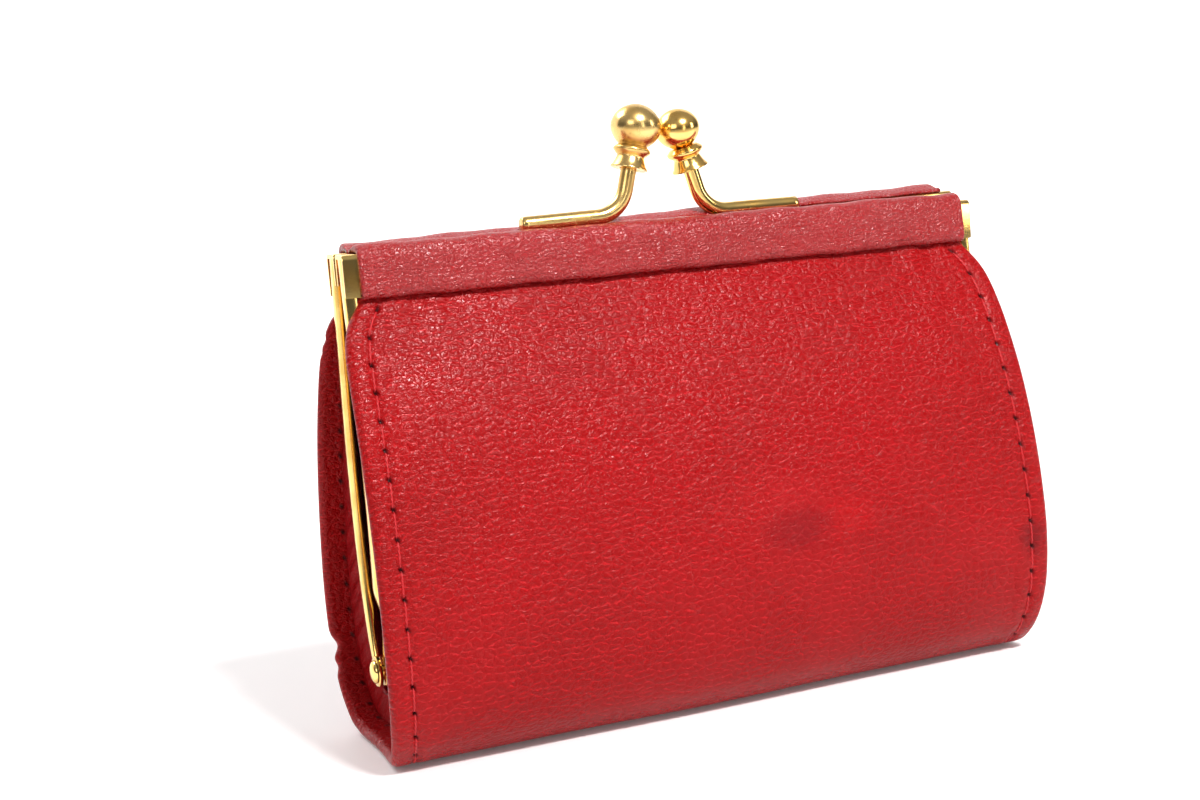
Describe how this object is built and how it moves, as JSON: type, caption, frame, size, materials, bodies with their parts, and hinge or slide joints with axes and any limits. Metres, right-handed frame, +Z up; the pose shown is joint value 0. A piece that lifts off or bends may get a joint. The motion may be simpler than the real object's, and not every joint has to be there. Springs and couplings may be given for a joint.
{
  "type": "coin purse",
  "caption": "Kiss-lock coin purse: hinged brass frame with leather-covered bars and a ball clasp, on a red pebbled-leather body with side gussets.",
  "frame": {"origin": "middle of the flat bottom that the purse stands on", "axes": "+X along the top bars, -Y towards the front panel, +Z up"},
  "size_m": [0.0958, 0.0338, 0.0794],
  "materials": {
    "red_leather": "pebbled, semi-gloss",
    "bar_leather": "fine grain, semi-gloss",
    "brass": "polished",
    "lining": "plain, matt",
    "board": "matt",
    "packing_paper": "matt",
    "thread": "waxed"
  },
  "bodies": {
    "base": {"base_panel": "red_leather", "base_stiffener": "board", "base_lining": "lining", "base_left_gusset": "red_leather", "base_right_gusset": "red_leather", "left_hinge_rivet": "brass", "right_hinge_rivet": "brass"},
    "front_half": {"front_frame": "brass", "front_bar_cover": "bar_leather", "front_packing_cord": "packing_paper", "front_panel": "red_leather", "front_stiffener": "board", "front_lining": "lining", "front_clasp_arm": "brass", "front_clasp_finial": "brass", "front_left_gusset": "red_leather", "front_left_thread": "thread", "front_right_gusset": "red_leather", "front_right_thread": "thread"},
    "back_half": {"back_frame": "brass", "back_bar_cover": "bar_leather", "back_packing_cord": "packing_paper", "back_panel": "red_leather", "back_stiffener": "board", "back_lining": "lining", "back_clasp_arm": "brass", "back_clasp_finial": "brass", "back_left_gusset": "red_leather", "back_left_thread": "thread", "back_right_gusset": "red_leather", "back_right_thread": "thread"}
  },
  "joints": [
    {"name": "front_hinge", "type": "hinge", "parent": "base", "child": "front_half", "pos_m": [0, 0, 0.0105], "axis": [1, 0, 0], "range_deg": [0, 40]},
    {"name": "back_hinge", "type": "hinge", "parent": "base", "child": "back_half", "pos_m": [0, 0, 0.0105], "axis": [-1, 0, 0], "range_deg": [0, 40]}
  ],
  "couplings": [
    {"joint": "back_hinge", "follows": "front_hinge", "ratio": 1}
  ]
}
